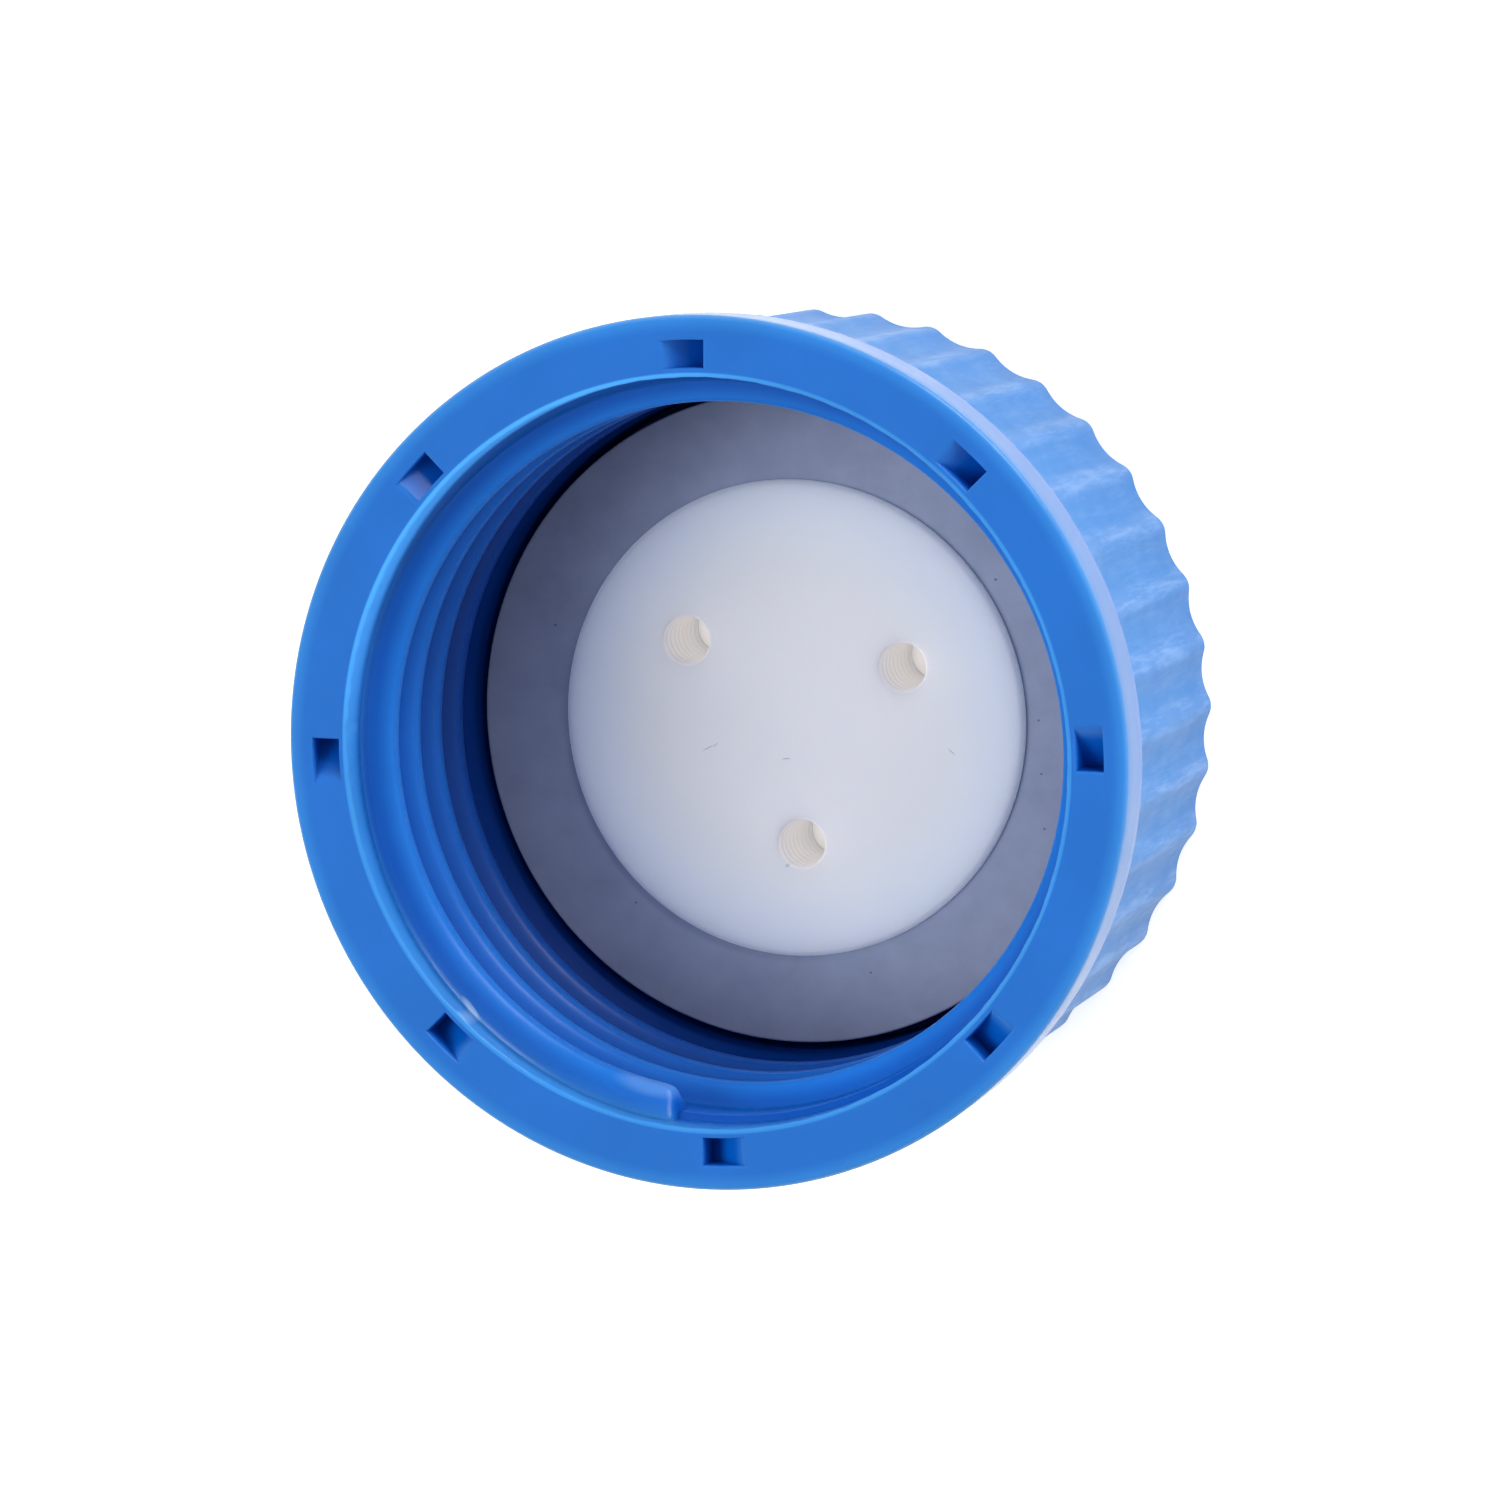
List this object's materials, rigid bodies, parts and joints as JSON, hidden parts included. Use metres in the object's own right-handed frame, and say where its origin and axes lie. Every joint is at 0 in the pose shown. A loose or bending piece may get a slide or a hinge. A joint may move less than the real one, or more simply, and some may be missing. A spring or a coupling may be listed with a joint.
{
  "type": "three-port safety cap",
  "caption": "Open-top screw cap with fluted grip, ratchet pockets in its rim, and a swivelling ported disc with a flat seal inside.",
  "frame": {"origin": "on the axis of the cap, in the plane of the outer face of the head, on which the cap stands", "axes": "+Z along the axis out of the open end, +X through a valley of the outer fluting"},
  "size_m": [0.0544, 0.0544, 0.026],
  "materials": {
    "blue_polypropylene": "satin moulded",
    "white_ptfe": "turned, waxy",
    "grey_silicone": "matt"
  },
  "bodies": {
    "ring": {"screw_ring": "blue_polypropylene"},
    "insert": {"port_insert": "white_ptfe", "seal_ring": "grey_silicone"}
  },
  "joints": [
    {"name": "insert_swivel", "type": "hinge", "parent": "ring", "child": "insert", "pos_m": [0, 0, 0.002], "axis": [0, 0, 1], "continuous": true}
  ]
}
